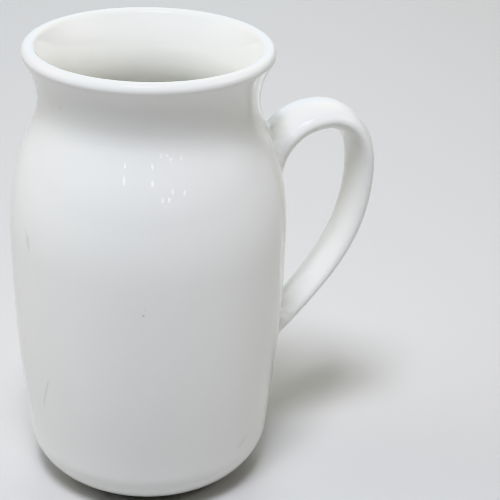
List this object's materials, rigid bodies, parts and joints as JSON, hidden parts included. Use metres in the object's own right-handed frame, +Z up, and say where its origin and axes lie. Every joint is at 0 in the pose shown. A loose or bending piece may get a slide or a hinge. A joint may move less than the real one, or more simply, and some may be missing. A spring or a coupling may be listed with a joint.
{
  "type": "milk pitcher",
  "caption": "Tall round-bellied milk pitcher in white glazed ceramic, with a narrower neck, a flared mouth with a rounded lip and a strap handle.",
  "frame": {"origin": "middle of the whole pitcher's footprint, handle included, at the level of the foot ring's standing face", "axes": "+Z up along the turned body's axis, +X towards the handle, +Y across the handle; the body's own axis stands 14.9 mm towards -X from the origin"},
  "size_m": [0.1128, 0.083, 0.138],
  "materials": {
    "white_glaze": "glossy white glaze, with the standing face of the foot ring left bare"
  },
  "bodies": {
    "root": {"pitcher": "white_glaze"}
  },
  "joints": []
}
